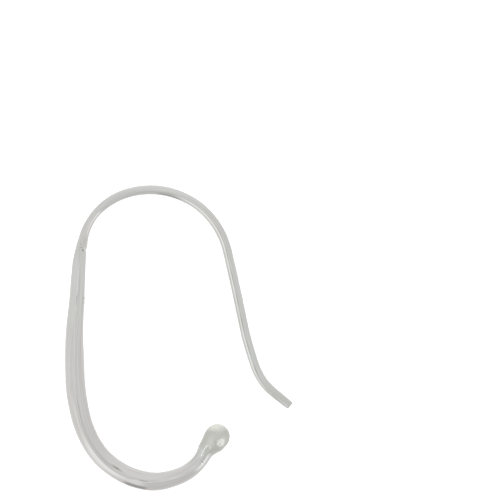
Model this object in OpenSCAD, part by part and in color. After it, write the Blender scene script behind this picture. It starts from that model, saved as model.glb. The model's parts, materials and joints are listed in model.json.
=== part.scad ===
// Ear wire for a pierced ear, lying on its side on a flat surface.
// Its middle line stays in one plane. A round wire runs from its cut tip through the kick,
// the rear leg, the arch and the shoulder into a solder joint. From the joint a tapered bar
// runs down the front, round the bottom of the loop and up to a ball.
// Seen from above, +Y points to the arch and +X to the rear leg.

/* [Ear wire] */
// Diameter of the round wire
wire_d = 0.81; // [0.64:0.01:0.95]
// Bevel filed round the cut tip
tip_bevel = 0.08; // [0.02:0.01:0.2]
// Straight length at the tip
tip_len = 2.1; // [1:0.1:4]
// Direction in which the wire leaves its tip, counted from +X
tip_heading = 139.8; // [120:0.1:160]
// Bend radius of the kick above the tip
kick_r = 5.9; // [3:0.1:12]
// Angle of the kick
kick_turn = 33; // [10:0.5:50]
// Bend radius of the slight bow in the rear leg
bow_r = 35; // [20:1:80]
// Angle of the slight bow in the rear leg
bow_turn = 4.5; // [1:0.5:10]
// Straight length of the rear leg
leg_len = 7.1; // [4:0.1:12]
// Bend radius of the arch behind its top
arch_rear_r = 7.4; // [5:0.1:10]
// Angle of the arch behind its top
arch_rear_turn = 52.5; // [40:0.5:70]
// Bend radius of the arch in front of its top
arch_front_r = 6.8; // [5:0.1:10]
// Angle of the arch in front of its top
arch_front_turn = 66.5; // [50:0.5:80]
// Bend radius of the shoulder above the joint
shoulder_r = 5; // [3:0.1:8]
// Angle of the shoulder above the joint
shoulder_turn = 34.5; // [20:0.5:45]

/* [Solder joint] */
// Distance from the end of the shoulder's bend to the joint
joint_drop = 1.5; // [0:0.1:2.5]
// Length of the solder that runs out along the wire
solder_len = 1.5; // [0.8:0.1:3]

/* [Front bar] */
// Diameter of the bar at the joint
bar_top_d = 1.06; // [0.96:0.01:1.3]
// Greatest diameter of the bar
bar_d = 1.76; // [1.5:0.01:2.2]
// Bend radius where the bar leaves the shoulder
bar_top_r = 15.5; // [8:0.5:30]
// Angle where the bar leaves the shoulder
bar_top_turn = 10.5; // [5:0.5:16]
// Straight length of the bar's upper part
bar_len = 4.2; // [2:0.1:8]
// Bend radius of the bar's middle
bar_mid_r = 50; // [30:1:90]
// Angle of the bar's middle
bar_mid_turn = 6.5; // [3:0.5:12]
// Bend radius where the bar starts to curl under
curl_r = 20; // [12:0.5:30]
// Angle where the bar starts to curl under
curl_turn = 11; // [6:0.5:16]
// Bend radius of the lower front corner
corner_r = 8; // [6:0.1:12]
// Angle of the lower front corner
corner_turn = 43.5; // [30:0.5:55]
// Bend radius of the bottom of the loop
bottom_r = 5.6; // [4.5:0.1:8]
// Angle of the bottom of the loop
bottom_turn = 88; // [60:0.5:105]

/* [Ball end] */
// Diameter of the ball
ball_d = 2.3; // [1.9:0.05:3]
// Straight length that ends at the ball's middle
neck_len = 1.9; // [1:0.1:3]
// Diameter of the bar where it is thinnest, below the ball
neck_d = 1.34; // [1.1:0.01:1.5]
// Distance from the thinnest place to the ball's middle
neck_reach = 2.5; // [2:0.1:4]

/* [Hidden] */

// Sides of the tip and the ball
$fn = 48;
// Sides of a section of the bent metal, a multiple of four so that a corner points down
ring_sides = 20;
// Greatest angle between two sections, and greatest distance between two in the bar
ring_turn = 6;
ring_step = 0.5;
// The bent metal starts inside the tip, this far before its end and this much thinner
tip_lap = 0.4;
tip_shrink = 0.005;
// The tip ends this far before the kick starts to bend
tip_gap = 0.1;
// Distance between the places at which the outer size is read
size_step = 0.1;
silver = [0.83, 0.83, 0.82];

// Each stretch of the middle line has a straight length, or a bend radius and the angle
// that it turns, which is positive to the left
LENGTH = 0;
RADIUS = 1;
TURN = 2;
route = [
  [tip_len, 0, 0],
  [0, kick_r, -kick_turn],
  [0, bow_r, -bow_turn],
  [leg_len, 0, 0],
  [0, arch_rear_r, arch_rear_turn],
  [0, arch_front_r, arch_front_turn],
  [0, shoulder_r, shoulder_turn],
  [0, bar_top_r, bar_top_turn],
  [bar_len, 0, 0],
  [0, bar_mid_r, bar_mid_turn],
  [0, curl_r, curl_turn],
  [0, corner_r, corner_turn],
  [0, bottom_r, bottom_turn],
  [neck_len, 0, 0],
];
// The bar starts with this stretch of the route
bar_start = 7;

// The bar's diameter as a share of its greatest, on the way from the joint to the neck
PLACE = 0;
SHARE = 1;
taper = [
  [0, bar_top_d / bar_d],
  [0.03, 0.67],
  [0.08, 0.72],
  [0.17, 0.79],
  [0.28, 0.93],
  [0.44, 1],
  [0.58, 0.96],
  [0.7, 0.94],
  [0.82, 0.94],
  [0.9, 0.85],
  [0.96, 0.79],
  [1, neck_d / bar_d],
];

// The flare below the ball ends inside the ball, at these shares of the ball's radius
flare_depth = 0.26;
flare_width = 0.92;
// How late the flare opens: 1 is a plain cone
flare_power = 1.6;

// A place on the middle line holds x, y, the heading and the way from the tip
HEADING = 2;
WAY = 3;
function stretch_len(row) = row[LENGTH] + row[RADIUS] * abs(row[TURN]) * PI / 180;
function moved(at, row, way) =
  row[RADIUS] == 0 ?
    [at.x + way * cos(at[HEADING]), at.y + way * sin(at[HEADING]), at[HEADING], at[WAY] + way] :
    let (
      arm = sign(row[TURN]) * row[RADIUS],
      heading = at[HEADING] + way / arm * 180 / PI
    )
    [
      at.x + arm * (sin(heading) - sin(at[HEADING])),
      at.y - arm * (cos(heading) - cos(at[HEADING])),
      heading,
      at[WAY] + way
    ];
function stretch_starts(at, i = 0) =
  i == len(route) ? [at] :
    concat([at], stretch_starts(moved(at, route[i], stretch_len(route[i])), i + 1));

starts = stretch_starts([0, 0, tip_heading, 0]);
ball_place = starts[len(route)];
joint_way = starts[bar_start][WAY] + joint_drop;
solder_way = joint_way - solder_len;
neck_way = ball_place[WAY] - neck_reach;
flare_end_way = ball_place[WAY] - flare_depth * ball_d / 2;
tip_end_way = tip_len - tip_gap;
tip_lap_way = tip_end_way - tip_lap;

function place_at(way) =
  let (i = max([for (k = [0 : len(route) - 1]) if (starts[k][WAY] <= way) k]))
  moved(starts[i], route[i], way - starts[i][WAY]);

// The taper runs smoothly through its rows: each slope follows the rows on both sides
function taper_slope(i) =
  let (before = taper[max(i - 1, 0)], after = taper[min(i + 1, len(taper) - 1)])
  (after[SHARE] - before[SHARE]) / (after[PLACE] - before[PLACE]);
function taper_share(place) =
  let (
    i = max([for (k = [0 : len(taper) - 2]) if (taper[k][PLACE] <= place) k]),
    span = taper[i + 1][PLACE] - taper[i][PLACE],
    t = (place - taper[i][PLACE]) / span,
    ease = t * t * (3 - 2 * t)
  )
  taper[i][SHARE] * (1 - ease) + taper[i + 1][SHARE] * ease
  + span * t * (1 - t) * (taper_slope(i) * (1 - t) - taper_slope(i + 1) * t);

function solder_radius(way) =
  let (t = (way - solder_way) / solder_len)
  (wire_d + (bar_top_d - wire_d) * t * t) / 2;
function flare_radius(way) =
  let (t = (way - neck_way) / (flare_end_way - neck_way))
  neck_d / 2 + (flare_width * ball_d - neck_d) / 2 * pow(t, flare_power);
function metal_radius(way) =
  way < tip_bevel ? wire_d / 2 - tip_bevel + way :
  way < solder_way ? wire_d / 2 :
  way < joint_way ? solder_radius(way) :
  way > neck_way ? flare_radius(way) :
  bar_d / 2 * taper_share((way - joint_way) / (neck_way - joint_way));

// The ear wire rests on its ball and on two places of the bar, the shares of the way from
// the joint to the neck. The surface is level when its normal leans by their radii.
low_rest = 0.27;
high_rest = 0.075;
function rest_place(share) =
  let (way = joint_way + share * (neck_way - joint_way), at = place_at(way))
  [at.x - ball_place.x, at.y - ball_place.y, metal_radius(way) - ball_d / 2];
low = rest_place(low_rest);
high = rest_place(high_rest);
spread = low.x * high.y - low.y * high.x;
lean_x = (low.z * high.y - high.z * low.y) / spread;
lean_y = (low.x * high.z - high.x * low.z) / spread;
up = sqrt(1 - lean_x * lean_x - lean_y * lean_y);
level = [
  [1 - lean_x * lean_x / (1 + up), -lean_x * lean_y / (1 + up), -lean_x],
  [-lean_x * lean_y / (1 + up), 1 - lean_y * lean_y / (1 + up), -lean_y],
  [lean_x, lean_y, up],
];

// The furthest reach of the levelled metal along one axis, on its positive or negative side
function disc_reach(way, axis, side) =
  let (
    at = place_at(way),
    middle = level * [at.x, at.y, 0],
    along = level * [cos(at[HEADING]), sin(at[HEADING]), 0]
  )
  side * middle[axis] + metal_radius(way) * sqrt(1 - along[axis] * along[axis]);
function ball_reach(axis, side) =
  side * (level * [ball_place.x, ball_place.y, 0])[axis] + ball_d / 2;
function reach(axis, side) =
  max(
    ball_reach(axis, side),
    max([for (way = [0 : size_step : flare_end_way]) disc_reach(way, axis, side)])
  );

// The origin lies under the middle of the outer size, at the lowest point
shift = [
  (reach(0, -1) - reach(0, 1)) / 2,
  (reach(1, -1) - reach(1, 1)) / 2,
  reach(2, -1),
];

// The cut tip: a straight pin with a filed bevel round its end
module tip() {
  rotate([0, 90, tip_heading]) {
    cylinder(d1 = wire_d - 2 * tip_bevel, d2 = wire_d, h = tip_bevel);
    translate([0, 0, tip_bevel])
      cylinder(d = wire_d, h = tip_end_way - tip_bevel);
  }
}

// The sections of a stretch lie at these ways: closer in a bend, and closer in the bar
function ring_ways(i) =
  let (
    first = max(starts[i][WAY], tip_lap_way),
    last = min(starts[i + 1][WAY], flare_end_way),
    bend_steps = ceil(abs(route[i][TURN]) / ring_turn),
    bar_steps = i < bar_start ? 1 : ceil((last - first) / ring_step),
    steps = max(bend_steps, bar_steps)
  )
  [for (k = [0 : steps - 1]) first + (last - first) * k / steps];

// One section: a ring of points square to the middle line
function ring(way) =
  let (
    at = place_at(way),
    r = metal_radius(way) - (way < tip_end_way ? tip_shrink : 0)
  )
  [
    for (k = [0 : ring_sides - 1])
      let (turn = 360 * k / ring_sides, side = r * cos(turn))
      [at.x - side * sin(at[HEADING]), at.y + side * cos(at[HEADING]), r * sin(turn)]
  ];

// The bent metal from the tip to the ball, swept along the middle line
module bent_metal() {
  ring_places = [for (i = [0 : len(route) - 1], way = ring_ways(i)) way];
  last_ring = len(ring_places);
  points = [for (way = concat(ring_places, [flare_end_way]), point = ring(way)) point];
  walls = [
    for (i = [0 : last_ring - 1], k = [0 : ring_sides - 1])
      let (
        a = i * ring_sides + k,
        b = i * ring_sides + (k + 1) % ring_sides
      )
      for (face = [[a, a + ring_sides, b], [b, a + ring_sides, b + ring_sides]]) face
  ];
  first_cap = [for (k = [0 : ring_sides - 1]) k];
  last_cap = [for (k = [ring_sides - 1 : -1 : 0]) last_ring * ring_sides + k];
  polyhedron(points = points, faces = concat([first_cap], walls, [last_cap]));
}

module ball() {
  translate([ball_place.x, ball_place.y, 0])
    sphere(d = ball_d);
}

module ear_wire() {
  color(silver)
    translate(shift)
      multmatrix(level) {
        tip();
        bent_metal();
        ball();
      }
}

ear_wire();
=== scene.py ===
"""Ear wire in polished sterling silver, lying on its side on a pale floor.

One closed surface replaces the plain solid. A section is carried along the wire's middle line:
the drawn wire from its filed tip through the kick, the rear leg, the arch and the shoulder,
then the solder joint, the tapered bar, the neck and the melted ball. Lengths are in
millimetres inside the shape functions and in metres in the mesh.
"""

import json
import math

import bpy
import numpy as np
from bpy.props import FloatProperty, FloatVectorProperty, IntProperty, PointerProperty
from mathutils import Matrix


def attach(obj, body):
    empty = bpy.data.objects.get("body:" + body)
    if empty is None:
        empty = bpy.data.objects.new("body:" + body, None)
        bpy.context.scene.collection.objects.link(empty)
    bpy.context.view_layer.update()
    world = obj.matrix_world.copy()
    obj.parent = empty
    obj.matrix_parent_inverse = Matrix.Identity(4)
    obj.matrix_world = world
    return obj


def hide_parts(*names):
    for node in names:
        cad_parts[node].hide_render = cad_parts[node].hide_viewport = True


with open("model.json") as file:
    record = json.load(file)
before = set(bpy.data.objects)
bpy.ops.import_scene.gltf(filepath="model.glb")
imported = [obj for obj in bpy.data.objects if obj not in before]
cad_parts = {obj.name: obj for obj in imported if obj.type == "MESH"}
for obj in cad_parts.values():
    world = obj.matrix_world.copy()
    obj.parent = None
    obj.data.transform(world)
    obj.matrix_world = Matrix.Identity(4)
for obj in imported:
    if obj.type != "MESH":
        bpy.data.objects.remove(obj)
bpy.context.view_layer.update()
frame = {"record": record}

bl_info = {
    "name": "Silver ear wire",
    "version": (1, 0, 0),
    "blender": (4, 5, 0),
    "location": "3D View > Sidebar > Ear wire",
    "description": "Builds a soldered silver ear wire and the light tent it is photographed in",
    "category": "Object",
}

MM = 0.001

# A place on the middle line: x, y, heading and the way from the tip
X, Y, HEADING, WAY = range(4)
# The third axis of a point, and the third channel of a colour
UP = BLUE = 2
# The stretch of the middle line that comes after the shoulder
AFTER_SHOULDER = 7

# How much the radius of the wire is less at its filed tip, in millimetres
TIP_SLIM = 0.03
# Where the filed metal starts to run out and where it ends, in millimetres from the tip
FILED_TIP = (1.4, 3.9)
# The straight pin that the record counts as the tip ends this far before the kick
PIN_BEFORE_KICK = 0.1
# The bevel of the tip: [share of the bevel along the wire, share of the bevel outwards]
BEVEL = np.array([
    [0.03, 0.06],
    [0.12, 0.17],
    [0.50, 0.55],
    [0.85, 0.90],
    [1.05, 0.99],
    [1.30, 1.00],
])

# The bar's diameter as a share of its greatest: [place from joint to neck, share]
TAPER = np.array([
    [0.00, 0.602],
    [0.03, 0.670],
    [0.08, 0.720],
    [0.17, 0.790],
    [0.28, 0.930],
    [0.44, 1.000],
    [0.58, 0.960],
    [0.70, 0.940],
    [0.82, 0.940],
    [0.90, 0.850],
    [0.96, 0.790],
    [1.00, 0.761],
])

# The flare from the neck ends this many ball radii before the ball's middle, at this share of the
# ball's radius, and opens with this power of the way
FLARE_BEFORE, FLARE_WIDE, FLARE_CURVE = 0.26, 0.92, 1.15

# How far the neck and ball reach from the middle line, as shares of the ball's radius:
# [ball radii before the ball's middle, inner side, outer side, up and down]
NECK = np.array([
    [2.69, 0.577, 0.589, 0.590],
    [2.43, 0.603, 0.563, 0.585],
    [2.17, 0.620, 0.571, 0.597],
    [1.91, 0.635, 0.554, 0.618],
    [1.65, 0.703, 0.548, 0.656],
    [1.39, 0.772, 0.589, 0.705],
    [1.13, 0.808, 0.676, 0.760],
    [0.87, 0.850, 0.825, 0.828],
    [0.61, 0.895, 0.925, 0.892],
    [0.35, 0.955, 0.963, 0.950],
    [0.00, 0.990, 0.990, 1.000],
])

# The two places where the bar rests on the floor, as shares of the way from joint to neck
RESTS = np.array([0.27, 0.075])

# On the ball, in ball radii from its middle seen from above: the spot that the buff reached, how far
# its edge is from its own middle, and the middle of the painted shade beside it, a dark crescent where
# the neck shades the ball
SPOT, SPOT_EDGE, SHADE_BESIDE_SPOT = (0.28, -0.47), (0.22, 0.36), (-0.14, -0.41)

# Where the neck's table takes over, where the buffed crest of the fold begins and where the ball
# does, each from its first sign to its full strength, in millimetres from the ball's middle
TABLE_STARTS, CREST_STARTS, BALL_STARTS = (-3.0, -2.4), (-2.4, -2.2), (-1.3, -0.9)

# Stretches of the wire that have a finish of their own: where it starts, is full, starts to fade
# and is gone. These are in millimetres from the tip
# the tip line and the leg lines are painted shade beside the leg's reflected bright line, and the leg's
# frost is a painted highlight
TIP_LINE = (0.2, 0.6, 4.3, 5.2)
LEG_LINES = (3.0, 6.0, 16.5, 20.0)
LEG_HIGHLIGHT_FROST = (3.6, 4.8, 16.5, 20.0)
# These are from the joint
SOLDER = (-2.7, -1.7, -0.25, 0.2)
# the bar's stain is partly tarnish and partly painted shade that dims a bright reflected band
BAR_STAIN_AND_SHADE = (11, 14, 15.6, 18.2)
BUFF_SEAM = (21.4, 22.4, 26.6, 27.8)
# These are from the neck's thinnest place
NICKS = (-0.3, 0, 0.9, 1.2)
SCUFFS = (-0.2, 0.2, 1.1, 1.4)
FOLD = (0.35, 0.6, 1.35, 1.6)
HOLLOW = (0.5, 0.8, 1.7, 2.1)
# This one is in ball radii before the ball's middle
# the frost along the fold paints a highlight, a white reflected streak
FOLD_HIGHLIGHT_FROST = (0.85, 1.0, 1.75, 2.05)

# Strips that run along the wire: [angle round the wire, reach across, amount]. The angle is in
# degrees, 0 on the loop's inner side and 90 on top. A strip that winds has a course, the angle
# that it follows, and its angle here is counted from there. The reach is in millimetres
# Relief: the amount is the height in millimetres outwards
RELIEF = {
    "seam": (0, 0.05, 0.007),
    "neck's flat": (72, 0.42, -0.035),
    "nicks": (108, 0.09, -0.03),
    "fold's crest": (-10, 0.09, 0.05),
    "fold's groove": (9, 0.08, -0.065),
}
# Dark oxide and painted shade, from 0 to 1. An amount under 0 takes some away
OXIDE_AND_SHADE = {
    "leg line": (81, 0.05, 0.36),
    "second leg line": (46, 0.04, 0.2),
    "tip line": (0, 0.065, 0.27),
    "arch's painted shade": (65, 0.13, 0.42),
    "bar's stain and painted shade": (119, 0.2, 0.27),
    "seam": (0, 0.25, 0.09),
    "fold's groove": (11, 0.06, 0.15),
    "hollow": (0, 0.3, 0.06),
    "nicks": (110, 0.13, 0.45),
    "tip's inner side": (15, 0.18, -0.09),
}
# White frost, which also paints highlights, from 0 to 1
FROST_AND_HIGHLIGHTS = {
    "fold": (76, 0.07, 0.6),
    "seam": (0, 0.036, 0.36),
    "nicks": (122, 0.16, 0.5),
    "leg": (54, 0.05, 0.1),
}
# Scuffed and buffed metal, from 0 to 1
WORN = {
    "scuffs": (145, 0.34, 1),
    "fold's crest": (88, 0.1, 1),
}

# Height in millimetres of the solder's lump and of the ridges on it
LUMP, RIDGES = 0.035, 0.008
# Oxide all round the filed tip and on the ball's melted skin, and painted shade beside the ball's spot,
# from 0 to 1
TIP_OXIDE, SKIN_OXIDE, SHADE_BESIDE_SPOT_AMOUNT = 0.12, 0.07, 0.16
# Frost on the lit cap of the ball at its whitest, a painted highlight, and the mean of the frost blots,
# painted highlights on its spot
CAP_HIGHLIGHT_FROST, BLOT_HIGHLIGHT_FROST = 0.62, 0.32
# How strongly the solder and the melted metal show in the red mark
SOLDER_SHOWS, MELT_SHOWS = 0.12, 0.6

# Marks that the bench left: [way beyond the joint, reach along the wire, angle round the wire,
# reach across], in millimetres and degrees. The height of these is among the joint's sizes
NOTCH, PIT = (-0.27, 0.15, 8, 0.3), (-0.27, 0.12, 66, 0.11)
FIRST_BEAD, SECOND_BEAD = (4.1, 0.14, 14, 0.2), (4.5, 0.12, 14, 0.2)
# The other marks, with their height in millimetres as a fifth number
MARKS = {
    "solder's edge": (-1.15, 0.34, 72, 0.05, -0.012),
    "crack": (-0.46, 0.06, 86, 0.16, -0.012),
    "second crack": (-0.74, 0.05, 92, 0.14, -0.008),
    "scratch": (4.45, 0.5, 88, 0.04, -0.015),
    "dent": (20.72, 0.52, 80, 0.06, -0.035),
    "dent's lip": (20.72, 0.52, 70, 0.07, 0.022),
}
# Dark oxide in the marks, with how much of it, from 0 to 1, as the fifth number
SOOTED = {
    "pit": (-0.27, 0.13, 66, 0.12, 0.5),
    "crack": (-0.46, 0.06, 87, 0.14, 0.35),
    "second crack": (-0.74, 0.055, 94, 0.1, 0.26),
    "solder's edge": (-1.15, 0.36, 72, 0.06, 0.13),
    "dent": (20.72, 0.48, 80, 0.06, 0.85),
    "scratch": (4.45, 0.5, 88, 0.04, 0.4),
}

# The middle of the painted shade inside the arch, a dark reflection painted as oxide, as a share of the
# way to the ball
ARCH_SHADE = 0.354

# Where the hand-bent metal strays from the drawn route: [way as a share of the whole, mm inwards]
STRAY = np.array([
    [0.00, 0.01],
    [0.035, 0.06],
    [0.055, 0.03],
    [0.075, -0.04],
    [0.12, 0.00],
    [0.19, -0.02],
    [0.24, 0.00],
    [0.28, -0.03],
    [0.31, -0.04],
    [0.335, 0.00],
    [0.385, 0.02],
    [0.43, -0.04],
    [0.48, 0.00],
    [0.55, -0.02],
    [0.59, 0.00],
    [0.62, -0.05],
    [0.67, -0.02],
    [0.71, -0.035],
    [0.735, -0.02],
    [0.77, 0.01],
    [0.81, 0.00],
    [0.85, 0.10],
    [0.87, 0.10],
    [0.89, 0.04],
    [0.915, 0.03],
    [0.94, -0.03],
    [0.96, 0.00],
    [1.00, 0.00],
])

# How far the silver has toned: [way as a share of the whole, share]
TONE = np.array([
    [0.00, 0.55],
    [0.10, 0.50],
    [0.20, 0.45],
    [0.24, 0.30],
    [0.27, 0.20],
    [0.31, 0.40],
    [0.37, 0.45],
    [0.44, 0.45],
    [0.47, 0.20],
    [0.50, 0.10],
    [0.53, 0.35],
    [0.56, 0.50],
    [0.59, 0.40],
    [0.63, 0.05],
    [0.70, 0.00],
    [0.93, 0.00],
    [0.96, 0.45],
    [0.98, 0.80],
    [1.00, 0.85],
])

# Rings of points on the tip's cut face and on the front half of the ball
FACE_RINGS, BALL_RINGS = 9, 33

# Polishing lines are this many times longer than they are wide, and the noise that draws them
# stays mostly between these two values
LINE_STRETCH = 40
LINE_NOISE = (0.3, 0.7)

# Width of the camera's sensor in millimetres, and side and height of the softbox in metres
SENSOR_MM = 36
SOFTBOX_SIDE, SOFTBOX_HEIGHT = 1.6, 0.8


def length(name, description, mm):
    """A length property whose default is given in millimetres."""
    return FloatProperty(
        name=name,
        description=description,
        default=mm * MM,
        precision=6,
        unit="LENGTH",
        subtype="DISTANCE",
    )


def angle(name, description, degrees):
    """An angle property whose default is given in degrees."""
    return FloatProperty(
        name=name,
        description=description,
        default=math.radians(degrees),
        unit="ROTATION",
        subtype="ANGLE",
    )


def share(name, description, default):
    """A plain number between 0 and 1."""
    return FloatProperty(
        name=name, description=description, default=default, min=0.0, max=1.0, subtype="FACTOR"
    )


def linear(code):
    """The linear red, green and blue of an sRGB hex colour such as #EBE9E7."""
    srgb = np.array([int(code[i : i + 2], 16) for i in (1, 3, 5)]) / 255
    return tuple(np.where(srgb > 0.04045, ((srgb + 0.055) / 1.055) ** 2.4, srgb / 12.92).tolist())


def colour(name, description, code):
    """A colour property whose default is an sRGB hex code."""
    return FloatVectorProperty(
        name=name,
        description=description,
        default=linear(code),
        size=3,
        min=0.0,
        max=1.0,
        subtype="COLOR",
    )


class WireSizes(bpy.types.PropertyGroup):
    """Sizes of the drawn wire, from its tip to the shoulder."""

    wire_d: length("Wire diameter", "Diameter of the round wire", 0.825)
    tip_bevel: length("Tip bevel", "Bevel filed round the cut tip", 0.08)
    tip_len: length("Tip length", "Straight length at the tip", 2.1)
    tip_heading: angle("Tip heading", "Direction in which the wire leaves its tip", 139.8)
    kick_r: length("Kick radius", "Bend radius of the kick above the tip", 5.9)
    kick_turn: angle("Kick angle", "Angle of the kick", 33)
    bow_r: length("Bow radius", "Bend radius of the slight bow in the rear leg", 35)
    bow_turn: angle("Bow angle", "Angle of the slight bow in the rear leg", 4.5)
    leg_len: length("Leg length", "Straight length of the rear leg", 7.1)
    arch_rear_r: length("Rear arch radius", "Bend radius of the arch behind its top", 7.4)
    arch_rear_turn: angle("Rear arch angle", "Angle of the arch behind its top", 52.5)
    arch_front_r: length("Front arch radius", "Bend radius of the arch in front of its top", 6.8)
    arch_front_turn: angle("Front arch angle", "Angle of the arch in front of its top", 66.5)
    shoulder_r: length("Shoulder radius", "Bend radius of the shoulder above the joint", 5)
    shoulder_turn: angle("Shoulder angle", "Angle of the shoulder above the joint", 34.5)


class JointSizes(bpy.types.PropertyGroup):
    """Sizes of the soldered joint and of what soldering left on it."""

    joint_drop: length("Joint drop", "From the end of the shoulder's bend to the joint", 1.5)
    solder_len: length("Solder length", "How far the solder runs out along the wire", 1.5)
    thinning: share("Thinning", "How much the wire was filed thinner above the solder", 0.13)
    thin_before: length("Thin place", "From the thinnest place of the wire to the joint", 3.4)
    notch_depth: length("Notch depth", "Depth of the notch on the inner side of the joint", 0.1)
    pit_depth: length("Pit depth", "Depth of the pit in the solder", 0.045)
    burr_height: length("Burr height", "Height of the burr on the inner side of the bar", 0.07)


class BarSizes(bpy.types.PropertyGroup):
    """Sizes of the tapered front bar."""

    bar_d: length("Bar diameter", "Greatest diameter of the bar", 1.76)
    bar_top_d: length("Bar top diameter", "Diameter of the bar at the joint", 1.06)
    bar_top_r: length("Bar top radius", "Bend radius where the bar leaves the shoulder", 15.5)
    bar_top_turn: angle("Bar top angle", "Angle where the bar leaves the shoulder", 10.5)
    bar_len: length("Bar length", "Straight length of the bar's upper part", 4.2)
    bar_mid_r: length("Bar middle radius", "Bend radius of the bar's middle", 50)
    bar_mid_turn: angle("Bar middle angle", "Angle of the bar's middle", 6.5)
    curl_r: length("Curl radius", "Bend radius where the bar starts to curl under", 20)
    curl_turn: angle("Curl angle", "Angle where the bar starts to curl under", 11)
    corner_r: length("Corner radius", "Bend radius of the lower front corner", 8)
    corner_turn: angle("Corner angle", "Angle of the lower front corner", 43.5)
    bottom_r: length("Bottom radius", "Bend radius of the bottom of the loop", 5.6)
    bottom_turn: angle("Bottom angle", "Angle of the bottom of the loop", 88)


class BallSizes(bpy.types.PropertyGroup):
    """Sizes of the ball and its neck."""

    ball_d: length("Ball diameter", "Diameter of the ball", 2.3)
    neck_len: length("Neck length", "Straight length that ends at the ball's middle", 2.05)
    neck_d: length("Neck diameter", "Diameter of the bar where it is thinnest", 1.34)
    neck_reach: length("Neck reach", "From the thinnest place to the ball's middle", 2.65)


class SilverFinish(bpy.types.PropertyGroup):
    """Colours and polish of the silver."""

    silver: colour("Silver", "Polished sterling silver", "#E9E7E5")
    toned: colour("Toned silver", "Silver with the first faint tarnish", "#E6EAE6")
    solder: colour("Solder", "Silver solder, a little greyer than the silver", "#E1E1D7")
    # the oxide colour is also the colour of painted shade
    soot_and_shade: colour("Oxide", "Dark oxide left in pits and cracks", "#75735F")
    polish: share("Roughness", "Roughness of the polished metal", 0.06)
    molten: share("Skin roughness", "Roughness of the ball's melted skin", 0.31)
    filed: share("Filed roughness", "Roughness of filed and scuffed metal", 0.34)
    line_spacing: length("Polishing lines", "Spacing of the polishing lines along the wire", 0.17)
    tone_patch: length("Tone patch", "Size of the patches of faint tarnish", 4.5)


class StudioLook(bpy.types.PropertyGroup):
    """The floor, the light tent, the camera, and how finely the wire is drawn."""

    floor: colour("Floor", "Colour of the floor", "#F4F4F3")
    tent: FloatProperty(
        name="Tent", description="Brightness of the tent's cloth", default=0.72, min=0
    )
    softbox: FloatProperty(
        name="Softbox",
        description="Power of the softbox over the floor",
        default=20,
        min=0,
        unit="POWER",
    )
    lens: FloatProperty(
        name="Lens",
        description="Focal length of the camera",
        default=250.0,
        min=20,
        unit="CAMERA",
        subtype="DISTANCE_CAMERA",
    )
    framed: length("Framed width", "Width of floor that the picture shows", 45.1)
    aim: FloatVectorProperty(
        name="Aim",
        description="The point of the floor in the middle of the picture",
        default=(6.40 * MM, 7.94 * MM, 0),
        size=3,
        unit="LENGTH",
        subtype="TRANSLATION",
    )
    sides: IntProperty(
        name="Sides", description="Points round a section of the wire", default=96, min=24, max=120
    )


def smooth_rows(rows, place, column):
    """A smooth curve through the rows of a table: between two rows it is the cubic that takes
    its slope at each row from the rows on both sides."""
    at, value = rows[:, 0], rows[:, column]
    slope = np.gradient(value, at)
    order = np.argsort(at)
    at, value, slope = at[order], value[order], slope[order]
    i = np.clip(np.searchsorted(at, place, side="right") - 1, 0, len(at) - 2)
    span = at[i + 1] - at[i]
    t = np.clip((place - at[i]) / span, 0, 1)
    ease = t * t * (3 - 2 * t)
    lift = span * t * (1 - t) * (slope[i] * (1 - t) - slope[i + 1] * t)
    return value[i] * (1 - ease) + value[i + 1] * ease + lift


def hump(distance, width):
    """A smooth hump: e to the minus square of the distance over the width."""
    return np.exp(-np.square(distance / width))


def ramp(value, start, end):
    """Rises smoothly from 0 at start to 1 at end."""
    t = np.clip((value - start) / (end - start), 0, 1)
    return t * t * (3 - 2 * t)


def plateau(value, stretch):
    """Rises smoothly from 0 to 1 between the first two places of the stretch, and falls from 1
    to 0 between its last two."""
    start, full, last, end = stretch
    return ramp(value, start, full) * (1 - ramp(value, last, end))


def round_from(side, radius):
    """A function of an angle in degrees: how far round the metal each point lies from the line
    that runs along the wire at that angle, in millimetres."""

    def off(degrees):
        turn = side - np.radians(degrees)
        return (np.mod(turn + math.pi, 2 * math.pi) - math.pi) * radius

    return off


def add_marks(start, marks, way, off, joint):
    """Adds bench marks: each one's amount times a hump along the wire times a hump across it."""
    for beyond, along, degrees, across, amount in marks:
        start = start + amount * (hump(way - (joint + beyond), along) * hump(off(degrees), across))
    return start


def add_strips(start, table, off, strips):
    """Adds strips along the wire: each one's amount times how strongly it shows along the wire
    times a hump across it. strips has, by name, how strongly each shows and its course, which is
    0 for a strip that doesn't wind."""
    for name, (shows, course) in strips.items():
        degrees, across, amount = table[name]
        start = start + amount * shows * hump(off(degrees + course), across)
    return start


def nicked_band(way, neck):
    """The stretch of the neck that was filed: a smooth rise and fall."""
    return plateau(way - neck, NICKS)


def file_nicks(way, neck):
    """A row of nicks across the neck: the square of a sine of the way, unevenly spaced."""
    return np.square(np.sin(16 * way + 1.2 * np.sin(3.7 * way))) * nicked_band(way, neck)


def neck_fold(way, neck):
    """The fold where the ball's melted metal ran back over the neck: how strongly it shows, a
    smooth rise and fall, and the angle round the wire at which it runs, in degrees."""
    return plateau(way - neck, FOLD), 86 - 4 * (way - neck - 1)


def buff_seam(way, joint):
    """The line along the bottom bend where two strokes of the buff met: how strongly it shows,
    a smooth rise and fall, and the angle round the wire at which it runs, in degrees."""
    return plateau(way - joint, BUFF_SEAM), 106 - 19 * ramp(way - joint, BUFF_SEAM[0], 26)


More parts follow.
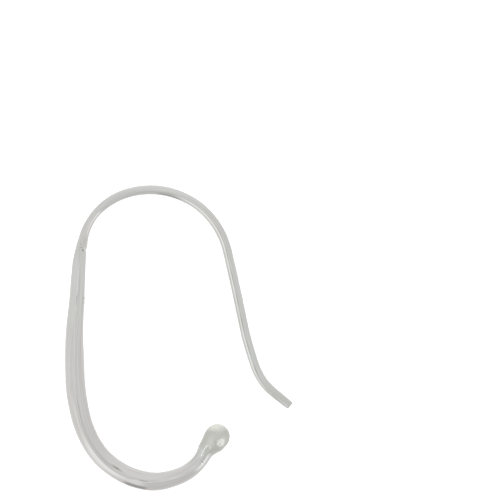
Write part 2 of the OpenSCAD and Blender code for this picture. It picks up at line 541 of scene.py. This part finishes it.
class MiddleLine:
    """The wire's middle line in its own plane: straights and arcs that join smoothly."""

    def __init__(self, sizes):
        wire, bar, ball = sizes.wire, sizes.bar, sizes.ball
        # straight length, bend radius and signed turn of each stretch
        self.stretches = np.array([
            [wire.tip_len / MM, 0, 0],
            [0, wire.kick_r / MM, -wire.kick_turn],
            [0, wire.bow_r / MM, -wire.bow_turn],
            [wire.leg_len / MM, 0, 0],
            [0, wire.arch_rear_r / MM, wire.arch_rear_turn],
            [0, wire.arch_front_r / MM, wire.arch_front_turn],
            [0, wire.shoulder_r / MM, wire.shoulder_turn],
            [0, bar.bar_top_r / MM, bar.bar_top_turn],
            [bar.bar_len / MM, 0, 0],
            [0, bar.bar_mid_r / MM, bar.bar_mid_turn],
            [0, bar.curl_r / MM, bar.curl_turn],
            [0, bar.corner_r / MM, bar.corner_turn],
            [0, bar.bottom_r / MM, bar.bottom_turn],
            [ball.neck_len / MM, 0, 0],
        ])
        self.starts = np.array([[0, 0, wire.tip_heading, 0]])
        for straight, radius, turn in self.stretches:
            end_way = self.starts[-1, WAY] + straight + radius * abs(turn)
            self.starts = np.vstack([self.starts, self.at(end_way)])
        shoulder_end = self.starts[AFTER_SHOULDER, WAY]
        self.joint = shoulder_end + sizes.joint.joint_drop / MM
        self.ball = self.starts[-1, WAY]
        self.neck = self.ball - ball.neck_reach / MM

    def at(self, way):
        """Place and heading at each way. A straight moves along its heading; an arc of signed
        radius a moves by a times the change of the heading's (sine, minus cosine)."""
        last = min(len(self.starts), len(self.stretches)) - 1
        i = np.clip(np.searchsorted(self.starts[:, WAY], way, side="right") - 1, 0, last)
        x, y, heading, start = self.starts[i].T
        radius, turn = self.stretches[i, 1:].T
        run = way - start
        bent = radius > 0
        arm = np.where(bent, np.sign(turn) * radius, 1)
        turned = heading + np.where(bent, run / arm, 0)
        along_x = np.where(bent, arm * (np.sin(turned) - np.sin(heading)), run * np.cos(heading))
        along_y = np.where(bent, arm * (np.cos(heading) - np.cos(turned)), run * np.sin(heading))
        return np.stack([x + along_x, y + along_y, turned, way], axis=-1)


def plain_radius(way, line, sizes):
    """Radius of the round section: the wire, then solder that swells with the square of the
    way, then the bar's taper, then a flare that opens with a power of the way into the ball."""
    wire_r = sizes.wire.wire_d / MM / 2
    top_r = sizes.bar.bar_top_d / MM / 2
    bar_r = sizes.bar.bar_d / MM / 2
    neck_r = sizes.ball.neck_d / MM / 2
    ball_r = sizes.ball.ball_d / MM / 2
    flare_end = line.ball - FLARE_BEFORE * ball_r
    solder = np.clip((way - line.joint) * MM / sizes.joint.solder_len + 1, 0, 1)
    flare = np.clip((way - line.neck) / (flare_end - line.neck), 0, 1)
    on_bar = np.clip((way - line.joint) / (line.neck - line.joint), 0, 1)
    radius = np.where(
        way < line.joint, wire_r + (top_r - wire_r) * solder**2, bar_r * smooth_rows(TAPER, on_bar, 1)
    )
    flared = neck_r + (FLARE_WIDE * ball_r - neck_r) * flare**FLARE_CURVE
    return np.where(way > line.neck, flared, radius)


def section_ways(line):
    """Where the sections lie, in millimetres from the tip: close together at the tip, the
    solder joint, the burr and the neck, wider apart elsewhere."""
    # [first way of the run, greatest spacing in it]
    runs = (
        (0.12, 0.06),
        (0.5, 0.13),
        (line.joint - 2.2, 0.032),
        (line.joint + 1.0, 0.09),
        (line.joint + 3.6, 0.05),
        (line.joint + 5.2, 0.1),
        (line.ball - 3.2, 0.05),
    )
    ends = [start for start, _ in runs[1:]] + [line.ball]
    counts = [math.ceil((end - start) / spacing) for (start, spacing), end in zip(runs, ends)]
    return np.concatenate([
        np.linspace(start, end, count, endpoint=False)
        for (start, _), end, count in zip(runs, ends, counts)
    ])


def long_waves(way, side, joint):
    """Waves that bending and buffing left, as sines of the way and the side. They run out before
    the tip and are deeper on the bar."""
    on_bar = ramp(way, joint - 1, joint + 3)
    waves = 0.0035 * np.sin(way * 0.93 + 0.8) * np.cos(side - 0.7)
    waves = waves + 0.002 * np.sin(way * 1.71 + 2.1) * np.cos(2 * side + 0.9)
    waves = waves + on_bar * 0.006 * np.sin(way * 0.61 + 1.3) * np.cos(side + 1.1)
    waves = waves + on_bar * 0.0035 * np.sin(way * 1.27 + 0.2) * np.cos(3 * side - 0.4)
    return waves * ramp(way, 0.4, 2.5)


def wire_relief(way, side, line, sizes):
    """What the bench left on the metal, in millimetres outwards. way is along the wire and side
    is the angle round it, 0 on the inner side of the loop and a quarter turn on top.
    It adds long shallow waves, marks and strips."""
    joint, neck, bench = line.joint, line.neck, sizes.joint
    off = round_from(side, plain_radius(way, line, sizes))
    relief = long_waves(way, side, joint)
    # the wire was filed thinner just above the solder, and a little slimmer at its tip
    thin_at = joint - bench.thin_before / MM
    thin = np.where(way < thin_at, hump(way - thin_at, 1.7), hump(way - thin_at, 1.35))
    relief = relief - bench.thinning * sizes.wire.wire_d / MM / 2 * thin
    relief = relief - TIP_SLIM * (1 - ramp(way, 0.3, 2.0))
    # the solder is a lump all round, with ridges along it
    relief = relief + LUMP * hump(way - (joint - 0.75), 0.42)
    ridges = np.sin(side * 9 + 1.2 * np.sin(way * 2.1)) * hump(way - (joint - 1.2), 0.7)
    relief = relief + RIDGES * ridges
    marks = [
        (*NOTCH, -bench.notch_depth / MM),
        (*PIT, -bench.pit_depth / MM),
        (*FIRST_BEAD, bench.burr_height / MM),
        (*SECOND_BEAD, 0.8 * bench.burr_height / MM),
        *MARKS.values(),
    ]
    relief = add_marks(relief, marks, way, off, joint)
    fold, fold_side = neck_fold(way, neck)
    fold = fold * (1 + 0.5 * ramp(way, neck + 0.8, neck + 1.3))
    return add_strips(relief, RELIEF, off, {
        # a faint ridge between two strokes of the buff
        "seam": buff_seam(way, joint),
        # a flat pressed into the neck a little inwards of its top, and nicks a little outwards
        "neck's flat": (hump(way - (neck - 0.1), 0.75), 0),
        "nicks": (file_nicks(way, neck), 0),
        # the fold's crest and the groove beside it, higher and deeper towards the ball
        "fold's crest": (fold, fold_side),
        "fold's groove": (fold, fold_side),
    })


def oxide_and_painted_shade(way, side, buffed, line, sizes):
    """How much dark oxide and painted shade each point has, from 0 to 1. Oxide sits in the pit, the
    cracks, the dent and the scratch, round the filed tip, and on the ball's melted skin where the buff
    didn't reach. Painted shade, where dark reflections fall, lies along lines on the leg and tip, in
    the arch, on the bar, beside the buff's seam, by the nicks and under the ball."""
    joint, neck = line.joint, line.neck
    off = round_from(side, plain_radius(way, line, sizes))
    oxide = add_marks(0, SOOTED.values(), way, off, joint)
    leg_shade_lines = plateau(way, LEG_LINES) * (0.75 + 0.25 * np.sin(2.9 * way + 1))
    winding = 34 + 28 * ramp(way, 0.2, 2.2) + 14 * ramp(way, 2.2, 4.8)
    oxide = add_strips(oxide, OXIDE_AND_SHADE, off, {
        # dark lines painted along the leg beside its reflected bright line, painted shade that joins
        # into one near the tip
        "leg line": (leg_shade_lines, 0),
        "second leg line": (leg_shade_lines, 0),
        "tip line": (plateau(way, TIP_LINE), winding),
        # painted shade on the inner side of the arch, where a dark reflection falls, and on the bar's
        # outer side a stain with painted shade that dims a bright reflected band
        "arch's painted shade": (hump(way - ARCH_SHADE * line.ball, 0.95), 0),
        "bar's stain and painted shade": (plateau(way - joint, BAR_STAIN_AND_SHADE), 0),
        # both sides of the line between two strokes of the buff are darker: painted shade beside the
        # dark reflected line
        "seam": buff_seam(way, joint),
        # darker in the groove of the fold; painted shade in the hollow under the ball, where a dark
        # reflection falls; and oxide between the nicks of the file, partly painted shade that makes the
        # nicks read dark and light
        "fold's groove": neck_fold(way, neck),
        "hollow": (plateau(way - neck, HOLLOW), 94 + 38 * (way - neck - 0.64)),
        "nicks": (file_nicks(way, neck), 0),
    })
    # the ball's skin, and the filed tip, where the inner side is cleaner
    oxide = oxide + SKIN_OXIDE * melted(way, buffed, neck) * (1 - buffed)
    at_tip = add_strips(TIP_OXIDE, OXIDE_AND_SHADE, off, {"tip's inner side": (1, 0)})
    return oxide + at_tip * (1 - ramp(way, *FILED_TIP))


def melted(way, buffed, neck):
    """Where the ball's skin is as it melted, from 0 to 1."""
    return ramp(way, neck + 0.85, neck + 1.25) * (1 - 0.5 * buffed)


def finish_marks(way, side, buffed, line, sizes):
    """How each point is finished, as red, green, blue and alpha between 0 and 1: red where solder or
    melted metal shows, green where the metal is filed or scuffed, blue where oxide stays or shade is
    painted, alpha for how far the silver has toned. buffed is 1 where the buff reached the ball."""
    joint, neck = line.joint, line.neck
    off = round_from(side, plain_radius(way, line, sizes))
    ragged = way + 0.16 * np.sin(3 * side + 1) + 0.07 * np.sin(8 * side)
    solder = SOLDER_SHOWS * plateau(ragged - joint, SOLDER)
    filed = 1 - ramp(way, *FILED_TIP)
    dull = add_strips(filed, WORN, off, {"scuffs": (plateau(way - neck, SCUFFS), 0)})
    marks = (
        solder + MELT_SHOWS * melted(way, buffed, neck),
        dull,
        oxide_and_painted_shade(way, side, buffed, line, sizes),
        smooth_rows(TONE, way / line.ball, 1) - 0.25 * buffed,
    )
    return np.clip(np.stack(np.broadcast_arrays(*marks), axis=-1), 0, 1)


def silver_finish(way, side, rings, line, sizes):
    """The finish of every point: its four marks, and how white it is with frost and painted highlights.

    The buff reached a round spot on top of the ball and the crest of the fold on the neck. The white
    frost that pickling left also serves as painted highlight. It stays on a lit cap of the ball, in a
    ragged streak along the fold, in blots on the spot, along the line where two strokes of the buff
    met, on the crests between the nicks of the file and, faintly, beside the dark painted lines of the
    leg.
    """
    way = way[:, None]
    off = round_from(side, plain_radius(way, line, sizes))
    # places on the ball in ball radii from its middle
    ball_r = sizes.ball.ball_d / MM / 2
    middle = line.at(line.ball)
    beside, beyond = ((rings[..., axis] - middle[axis]) / ball_r for axis in (X, Y))
    on_ball = ramp(way - line.ball, *BALL_STARTS)
    on_top = on_ball * (rings[..., UP] > 0)
    on_neck = ramp(way - line.ball, *CREST_STARTS) * (1 - on_ball)
    spot = on_top * (1 - ramp(np.hypot(beside - SPOT[0], beyond - SPOT[1]), *SPOT_EDGE))
    buffed = add_strips(spot, WORN, off, {"fold's crest": (on_neck, 0)})

    # painted highlight: the ball's lit upper side and its spot whitened with frost
    lit_cap = on_ball * np.clip((beyond - 0.37) / 0.52, 0, 1) * (1 - 0.4 * ramp(beside, -0.3, 0.8))
    highlight_blots = spot * (1 + 0.6 * np.sin(16 * beside + 1) * np.sin(19 * beyond))
    # painted highlight: a ragged white streak along the fold
    ragged = 0.62 + 0.38 * np.sin(29 * way + 1.5 * np.sin(7 * way))
    fold_highlight = ragged * plateau((line.ball - way) / ball_r, FOLD_HIGHLIGHT_FROST)
    # painted highlight: white frost on the line where two strokes of the buff met
    seam, seam_side = buff_seam(way, line.joint)
    seam_highlight = seam * (0.75 + 0.25 * np.sin(5.3 * way))
    # painted highlight: white frost on the crests between the nicks of the file
    nick_crest_highlights = nicked_band(way, line.neck) - file_nicks(way, line.neck)
    frost_and_highlight = add_strips(CAP_HIGHLIGHT_FROST * lit_cap + BLOT_HIGHLIGHT_FROST * highlight_blots, FROST_AND_HIGHLIGHTS, off, {
        "fold": (fold_highlight, 0),
        "seam": (seam_highlight, seam_side),
        "nicks": (nick_crest_highlights, 0),
        "leg": (plateau(way, LEG_HIGHLIGHT_FROST), 0),
    })

    marks = finish_marks(way, side, buffed, line, sizes)
    # painted shade beside the spot: a dark crescent painted in as oxide, where the neck shades the ball
    shade_beside_spot = hump(np.hypot(beside - SHADE_BESIDE_SPOT[0], beyond - SHADE_BESIDE_SPOT[1]), 0.1)
    marks[..., BLUE] += SHADE_BESIDE_SPOT_AMOUNT * shade_beside_spot * on_top
    return marks, frost_and_highlight


def levelled(line, sizes):
    """The turn that lays the wire on the floor: it touches at the ball and at two places of
    the bar, so the floor's normal leans by the differences of their radii over their distances."""
    ways = line.joint + RESTS * (line.neck - line.joint)
    spans = line.at(ways)[:, :2] - line.at(line.ball)[:2]
    drops = plain_radius(ways, line, sizes) - sizes.ball.ball_d / MM / 2
    lean = np.linalg.solve(spans, drops)
    up = math.sqrt(1 - lean @ lean)
    turn = np.empty((3, 3))
    turn[:2, :2] = np.eye(2) - np.outer(lean, lean) / (1 + up)
    turn[:2, 2] = -lean
    turn[2, :2] = lean
    turn[2, 2] = up
    return turn


def tip_rings(sizes):
    """Ways and radii of the rings on the tip's cut face and on its filed bevel."""
    bevel = sizes.wire.tip_bevel / MM
    cut_r = sizes.wire.wire_d / MM / 2 - bevel - TIP_SLIM
    face = np.linspace(0.12, 0.97, FACE_RINGS)
    ways = np.concatenate([np.full(len(face), 0.02), BEVEL[:, 0]]) * bevel
    radii = np.concatenate([face * cut_r, cut_r + BEVEL[:, 1] * bevel])
    return ways, radii


def ring_reach(way, line, sizes):
    """How far each ring reaches from the middle line, to the inner side, to the outer side and
    up: the plain radius, blended into the neck's own table."""
    ball_r = sizes.ball.ball_d / MM / 2
    radius = plain_radius(way, line, sizes)
    before = np.clip((line.ball - way) / ball_r, 0, None)
    blend = ramp(way - line.ball, *TABLE_STARTS)
    return [
        radius * (1 - blend) + ball_r * smooth_rows(NECK, before, column) * blend
        for column in (1, 2, 3)
    ]


def silver_surface(sizes, sides):
    """The whole ear wire as rings of points from the cut face to the ball's pole.

    Each ring is an ellipse across the middle line: towards the inner side it reaches
    (inner + outer) / 2 times the cosine of the angle plus (inner - outer) / 2, and upwards
    its height times the sine. The tip's rings shrink on a filed bevel to the cut face, and
    the ball's last rings follow a half circle to its pole.
    Gives the middle line, each ring's way, the angles round it, the rings, the points that
    close both ends, and each point's place on the wire as if it were pulled straight.
    """
    line = MiddleLine(sizes)
    ball_r = sizes.ball.ball_d / MM / 2
    tip_ways, tip_radii = tip_rings(sizes)
    # the ball's front half, ring by ring up to its pole
    rise = np.linspace(0, math.pi / 2, BALL_RINGS, endpoint=False)
    front_ways = line.ball + ball_r * np.sin(rise)
    way = np.concatenate([tip_ways, section_ways(line), front_ways])
    side = np.arange(sides) * 2 * math.pi / sides

    tip, front = slice(len(tip_ways)), slice(-len(front_ways), None)
    inner, outer, height = ring_reach(way, line, sizes)
    inner[tip] = outer[tip] = height[tip] = tip_radii
    shift = (inner[front][0] - outer[front][0]) / 2
    half = (inner[front][0] + outer[front][0]) / 2
    inner[front] = half * np.cos(rise) + shift
    outer[front] = half * np.cos(rise) - shift
    height[front] = ball_r * np.cos(rise)

    relief = wire_relief(way[:, None], side, line, sizes)
    relief[tip] = 0
    relief[front] *= np.cos(rise)[:, None]
    stray = smooth_rows(STRAY, way / line.ball, 1)
    across = (inner + outer)[:, None] / 2 * np.cos(side) + (inner - outer)[:, None] / 2
    across = across + relief * np.cos(side) + stray[:, None]
    above = (height[:, None] + relief) * np.sin(side)
    x, y, heading, _ = line.at(way).T[..., None]
    rings = np.stack([x - across * np.sin(heading), y + across * np.cos(heading), above], axis=-1)
    x, y, heading, _ = line.at(line.ball + ball_r)
    pole = [x - shift * np.sin(heading), y + shift * np.cos(heading), 0]
    straight = np.stack(np.broadcast_arrays(way[:, None], across, above), axis=-1)
    return line, way, side, rings, [rings[0].mean(axis=0), pole], straight


def tube_faces(rings, sides):
    """Quads between neighbouring rings, as four columns of point numbers, that look outwards."""
    first = np.arange(rings - 1)[:, None] * sides
    here, there = np.arange(sides), np.roll(np.arange(sides), -1)
    next_ring = first + sides
    quads = [first + here, next_ring + here, next_ring + there, first + there]
    return np.stack(quads, axis=-1).reshape(-1, 4)


def mesh_object(name, points, quads, triangles):
    """A smooth-shaded mesh object from arrays of points, quads and triangles."""
    mesh = bpy.data.meshes.new(name)
    corners = np.concatenate([quads.ravel(), triangles.ravel()]).astype(np.int32)
    quad_starts = np.arange(len(quads)) * 4
    triangle_starts = len(quads) * 4 + np.arange(len(triangles)) * 3
    starts = np.concatenate([quad_starts, triangle_starts])
    mesh.vertices.add(len(points))
    mesh.vertices.foreach_set("co", points.astype(np.float32).ravel())
    mesh.loops.add(len(corners))
    mesh.loops.foreach_set("vertex_index", corners)
    mesh.polygons.add(len(starts))
    mesh.polygons.foreach_set("loop_start", starts.astype(np.int32))
    mesh.update(calc_edges=True)
    mesh.shade_smooth()
    made = bpy.data.objects.new(name, mesh)
    bpy.context.scene.collection.objects.link(made)
    return made


def add(tree, kind, links=None, **settings):
    """Adds a node: settings are its own values, links are a value or an output for an input."""
    node = tree.nodes.new(kind)
    for name, value in settings.items():
        setattr(node, name, value)
    for name, value in (links or {}).items():
        if isinstance(value, bpy.types.NodeSocket):
            tree.links.new(value, node.inputs[name])
        else:
            node.inputs[name].default_value = value
    return node


def attribute(tree, name):
    """The outputs of one of the mesh's own attributes."""
    return add(tree, "ShaderNodeAttribute", attribute_name=name).outputs


def maths(tree, operation, *values, clamp=False):
    """The result of a Math node."""
    inputs = dict(enumerate(values))
    return add(tree, "ShaderNodeMath", inputs, operation=operation, use_clamp=clamp).outputs[0]


def mixed(tree, amount, first, second):
    """The first value where amount is 0 and the second where it is 1."""
    links = {0: amount, 2: first, 3: second}
    return add(tree, "ShaderNodeMix", links, data_type="FLOAT").outputs[0]


def mixed_colour(tree, amount, first, second):
    """The same for two colours, which have input sockets 6 and 7 and output 2."""
    links = {0: amount, 6: first, 7: second}
    return add(tree, "ShaderNodeMix", links, data_type="RGBA").outputs[2]


def mapped(tree, value, start, end, low=0.0, high=1.0, **settings):
    """The value carried over from the span start to end to the span low to high."""
    links = {"Value": value, "From Min": start, "From Max": end, "To Min": low, "To Max": high}
    return add(tree, "ShaderNodeMapRange", links, **settings).outputs["Result"]


def noise(tree, vector, scale, roughness=0.5):
    """Soft noise in two sizes, around a half."""
    links = {"Vector": vector, "Scale": scale, "Detail": 2.0, "Roughness": roughness}
    return add(tree, "ShaderNodeTexNoise", links).outputs["Fac"]


def bumped(tree, height, strength, distance, links=None):
    """The normal of a surface with this relief."""
    links = {"Height": height, "Strength": strength, "Distance": distance, **(links or {})}
    return add(tree, "ShaderNodeBump", links).outputs["Normal"]


def polished_silver(finish):
    """Sterling silver: drawn and cast metal, soldered, filed, then polished on a buff.

    To the eye it is a mirror that keeps faint polishing lines along the wire. Air has toned it in soft
    patches, the solder is greyer, filed places are dull, and pits hold dark oxide. In places, painted
    shade carried as oxide and painted highlights carried as white frost stand in for dark and bright
    reflections.
    """
    material = bpy.data.materials.new("polished_sterling_silver")
    material.use_nodes = True
    tree = material.node_tree
    tree.nodes.clear()
    marks = attribute(tree, "finish")
    toning = marks["Alpha"]
    parts = add(tree, "ShaderNodeSeparateColor", {"Color": marks["Color"]}).outputs
    place = add(tree, "ShaderNodeTexCoord").outputs["Object"]

    # polishing lines run along the wire: real ones are 0.02 mm apart, these are coarser to show
    fine = 1 / finish.line_spacing
    along = attribute(tree, "along_wire")["Vector"]
    scale = (fine / LINE_STRETCH, fine, fine)
    stretched = add(tree, "ShaderNodeMapping", {"Vector": along, "Scale": scale})
    lines = noise(tree, stretched.outputs["Vector"], 1.0)
    # first tarnish, deeper in patches some millimetres across
    patches = noise(tree, place, 1 / finish.tone_patch)
    toned = maths(tree, "MULTIPLY_ADD", patches, 0.5, toning)
    toned = maths(tree, "SUBTRACT", toned, 0.25, clamp=True)
    base = mixed_colour(tree, toned, (*finish.silver, 1), (*finish.toned, 1))
    soldered = mixed_colour(tree, parts["Red"], base, (*finish.solder, 1))
    # the ball's skin was never buffed: no lines there, and a softer shine
    skin = mapped(tree, toning, 0.6, 0.8)
    lines = mixed(tree, skin, lines, 0.6)
    # polishing compound darkens the deeper lines a little
    streaks = mapped(tree, lines, *LINE_NOISE, 0.13, -0.03, clamp=False)
    # oxide and painted shade, with the polishing lines, pull the colour towards the oxide's
    oxide_shade_streaks = maths(tree, "ADD", parts["Blue"], streaks, clamp=True)
    sooted_and_shaded = mixed_colour(tree, oxide_shade_streaks, soldered, (*finish.soot_and_shade, 1))

    # grain of filed and soldered metal, about 0.1 mm
    grain = noise(tree, place, 1 / (0.12 * MM), 0.6)
    dull = maths(tree, "MULTIPLY_ADD", parts["Red"], 0.3, parts["Green"], clamp=True)
    polish = mapped(tree, lines, *LINE_NOISE, finish.polish * 0.7, finish.polish * 1.5)
    polish = mixed(tree, skin, polish, finish.molten)
    rough = mixed(tree, dull, polish, finish.filed)
    lined = bumped(tree, lines, 1.0, 0.005 * MM)
    coarse = bumped(tree, maths(tree, "MULTIPLY", grain, dull), 0.6, 0.012 * MM, {"Normal": lined})
    # frost is a skin of fine silver so porous that it scatters light like a white powder; here it also
    # paints highlights
    metal = maths(tree, "MULTIPLY_ADD", attribute(tree, "frost_and_highlight")["Fac"], -0.6, 1.0)
    shader = add(
        tree,
        "ShaderNodeBsdfPrincipled",
        {"Base Color": sooted_and_shaded, "Metallic": metal, "Roughness": rough, "Normal": coarse},
    )
    add(tree, "ShaderNodeOutputMaterial", {"Surface": shader.outputs["BSDF"]})
    return material


def with_ends(values, ends=None):
    """The values of all rings as rows, and two more rows for the points that close the ends.
    If the ends aren't given, they are the means of the first and the last ring."""
    if ends is None:
        ends = [values[0].mean(axis=0), values[-1].mean(axis=0)]
    return np.concatenate([values.reshape(-1, values.shape[-1]), ends])


def keep(mesh, name, kind, field, values):
    """Stores an attribute with one value for each point of the mesh."""
    kept = mesh.attributes.new(name, kind, "POINT")
    kept.data.foreach_set(field, values.astype(np.float32).ravel())


def end_caps(rings, sides):
    """Triangles from the first and the last ring to the two points after the rings' own, as
    three columns of point numbers, that look outwards."""
    tip_end, ball_end = rings * sides, rings * sides + 1
    here, there = np.arange(sides), np.roll(np.arange(sides), -1)
    last = (rings - 1) * sides
    return np.concatenate([
        np.stack([np.full(sides, tip_end), here, there], axis=1),
        np.stack([np.full(sides, ball_end), last + there, last + here], axis=1),
    ])


class EARWIRE_OT_silver(bpy.types.Operator):
    """Builds the soldered silver ear wire in place of the plain solid"""

    bl_idname = "earwire.silver"
    bl_label = "Silver ear wire"

    def execute(self, context):
        sizes = context.scene.ear_wire
        sides = sizes.studio.sides
        line, way, side, rings, ends, straight = silver_surface(sizes, sides)
        marks, frost_and_highlight = silver_finish(way, side, rings, line, sizes)
        # laid level, with the middle of the tip's pin where the solid has it
        tip = next(m for m in frame["record"]["mounts"] if m["name"] == "tip")
        pin_end = sizes.wire.tip_len / MM - PIN_BEFORE_KICK
        pin_middle = line.at((sizes.wire.tip_bevel / MM + pin_end) / 2)
        points = with_ends(rings, ends) - [pin_middle[X], pin_middle[Y], 0]
        points = points @ levelled(line, sizes).T * MM + np.array(tip["pos_m"])
        count = len(rings)
        made = mesh_object("silver_ear_wire", points, tube_faces(count, sides), end_caps(count, sides))
        keep(made.data, "along_wire", "FLOAT_VECTOR", "vector", with_ends(straight) * MM)
        keep(made.data, "finish", "FLOAT_COLOR", "color", with_ends(marks, [marks[0, 0], marks[-1, 0]]))
        keep(made.data, "frost_and_highlight", "FLOAT", "value", with_ends(frost_and_highlight[..., None]))
        made.data.materials.append(polished_silver(sizes.finish))
        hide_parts("ear_wire")
        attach(made, "root")
        return {"FINISHED"}


# What the metal sees of the studio. Each card: azimuth and zenith angle of its middle, half
# its width and height, softness of its sides and of its top and bottom, all in degrees, and
# its brightness beside the tent's cloth
SURROUND = {
    "white below": (0, 180, 180, 58, 1, 22, 1.02),
    "north cloth": (80, 64, 28, 80, 8, 10, 1.06),
    "low north cloth": (88, 114, 42, 34, 16, 22, 1.13),
    "far west cloth": (-178, 60, 27, 62, 6, 10, 1.05),
    "corner cloth": (-112, 30, 12, 46, 5, 6, 1.15),
    "south cloth": (-75, 60, 27, 42, 4, 4, 0.90),
    "middle west cloth": (-139, 92, 10, 20, 6, 6, 1.17),
    "low west cloth": (-155, 128, 32, 18, 8, 8, 1.12),
    "dark stand": (-107, 104, 8, 25, 3, 9, 0.55),
    "west gap": (-134, 15, 20, 11, 6, 3, 0.93),
    "west light": (-147, 60, 26, 24, 5, 8, 1.34),
    "east light": (-28, 68, 18, 24, 3, 4, 1.29),
    "lens shade": (0, 0, 180, 14, 1, 2, 0.96),
    "lens rim": (0, 0, 180, 9, 1, 1.5, 1.17),
    "lens": (0, 0, 180, 4, 1, 1, 0.66),
}


def tent_light(look):
    """The tent as the world's light: bright cloth all round, with wide soft cards on it.
    A card's mask is the product of two smooth ramps, one of the difference in azimuth and one
    of the difference in zenith angle. The camera itself sees the white background."""
    world = bpy.data.worlds.new("light_tent")
    bpy.context.scene.world = world
    world.use_nodes = True
    tree = world.node_tree
    tree.nodes.clear()
    view = add(tree, "ShaderNodeTexCoord").outputs["Generated"]
    axes = add(tree, "ShaderNodeSeparateXYZ", {"Vector": view}).outputs
    zenith = maths(tree, "ARCCOSINE", axes["Z"])
    level = add(tree, "ShaderNodeCombineXYZ", {"X": axes["X"], "Y": axes["Y"]}).outputs[0]
    around = add(tree, "ShaderNodeVectorMath", {0: level}, operation="NORMALIZE").outputs[0]
    bright = look.tent
    for *degrees, beside in SURROUND.values():
        azimuth, middle, wide, high, side_soft, end_soft = map(math.radians, degrees)
        towards = (math.cos(azimuth), math.sin(azimuth), 0)
        facing = add(tree, "ShaderNodeVectorMath", {0: around, 1: towards}, operation="DOT_PRODUCT")
        turned = maths(tree, "ARCCOSINE", facing.outputs["Value"])
        apart = maths(tree, "ABSOLUTE", maths(tree, "SUBTRACT", zenith, middle))
        masks = [
            mapped(tree, value, half + soft, half - soft, interpolation_type="SMOOTHSTEP")
            for value, half, soft in ((turned, wide, side_soft), (apart, high, end_soft))
        ]
        bright = mixed(tree, maths(tree, "MULTIPLY", *masks), bright, look.tent * beside)
    eye = add(tree, "ShaderNodeLightPath").outputs["Is Camera Ray"]
    seen = mixed(tree, eye, bright, 1.0)
    back = add(tree, "ShaderNodeBackground", {"Color": (1, 1, 1, 1), "Strength": seen})
    add(tree, "ShaderNodeOutputWorld", {"Surface": back.outputs["Background"]})


def sweep_floor(look):
    """A matt white sweep, 3 m across. It is kept out of the metal's reflections, which show the
    tent's own cloth below as well, so a bright piece stands out from the white under it."""
    reach, steps = 1.5, 9
    line = np.linspace(-reach, reach, steps)
    x, y = np.meshgrid(line, line)
    points = np.stack([x.ravel(), y.ravel(), np.zeros(steps * steps)], axis=1)
    first = (np.arange(steps - 1)[:, None] * steps + np.arange(steps - 1)).ravel()
    quads = np.stack([first, first + 1, first + steps + 1, first + steps], axis=1)
    floor = mesh_object("floor", points, quads, np.empty((0, 3), int))
    material = bpy.data.materials.new("matt_white_sweep")
    material.use_nodes = True
    tree = material.node_tree
    tree.nodes.clear()
    cloth = add(tree, "ShaderNodeBsdfDiffuse", {"Color": (*look.floor, 1)})
    add(tree, "ShaderNodeOutputMaterial", {"Surface": cloth.outputs["BSDF"]})
    floor.visible_glossy = False
    floor.data.materials.append(material)


class EARWIRE_OT_studio(bpy.types.Operator):
    """Sets the pale floor, the light tent, the softbox and the camera"""

    bl_idname = "earwire.studio"
    bl_label = "Studio"

    def execute(self, context):
        look = context.scene.ear_wire.studio
        sweep_floor(look)
        tent_light(look)
        lamp = bpy.data.lights.new("softbox", "AREA")
        lamp.shape = "SQUARE"
        lamp.size = SOFTBOX_SIDE
        lamp.energy = look.softbox
        softbox = bpy.data.objects.new("softbox", lamp)
        softbox.location = (0, 0, SOFTBOX_HEIGHT)
        softbox.visible_glossy = False
        softbox.visible_camera = False
        camera = bpy.data.objects.new("camera", bpy.data.cameras.new("camera"))
        camera.data.lens = look.lens
        camera.data.sensor_width = SENSOR_MM
        camera.data.clip_start = 0.01
        camera.data.clip_end = 10
        above = look.framed * look.lens / SENSOR_MM
        camera.location = (look.aim[0], look.aim[1], above + MM)
        for thing in (softbox, camera):
            context.scene.collection.objects.link(thing)
        context.scene.camera = camera
        context.scene.view_settings.view_transform = "Standard"
        return {"FINISHED"}


class EarWireScene(bpy.types.PropertyGroup):
    """Everything that can be set."""

    wire: PointerProperty(type=WireSizes)
    joint: PointerProperty(type=JointSizes)
    bar: PointerProperty(type=BarSizes)
    ball: PointerProperty(type=BallSizes)
    finish: PointerProperty(type=SilverFinish)
    studio: PointerProperty(type=StudioLook)


class EARWIRE_PT_sidebar(bpy.types.Panel):
    """Lists the steps and what can be set"""

    bl_label = "Ear wire"
    bl_idname = "EARWIRE_PT_sidebar"
    bl_space_type = "VIEW_3D"
    bl_region_type = "UI"
    bl_category = "Ear wire"

    def draw(self, context):
        for operator in (EARWIRE_OT_silver, EARWIRE_OT_studio):
            self.layout.operator(operator.bl_idname)
        for group in ("wire", "joint", "bar", "ball", "finish", "studio"):
            box = self.layout.box()
            box.label(text=group.capitalize())
            values = getattr(context.scene.ear_wire, group)
            for name in values.__annotations__:
                box.prop(values, name)


CLASSES = (
    WireSizes,
    JointSizes,
    BarSizes,
    BallSizes,
    SilverFinish,
    StudioLook,
    EarWireScene,
    EARWIRE_OT_silver,
    EARWIRE_OT_studio,
    EARWIRE_PT_sidebar,
)


def register():
    """Makes the classes known and gives each scene its values."""
    for each in CLASSES:
        bpy.utils.register_class(each)
    bpy.types.Scene.ear_wire = PointerProperty(type=EarWireScene)


def unregister():
    """Takes it all away again."""
    del bpy.types.Scene.ear_wire
    for each in reversed(CLASSES):
        bpy.utils.unregister_class(each)


def main():
    """Builds the ear wire and its studio."""
    register()
    bpy.ops.earwire.silver()
    bpy.ops.earwire.studio()


if __name__ == "__main__":
    main()
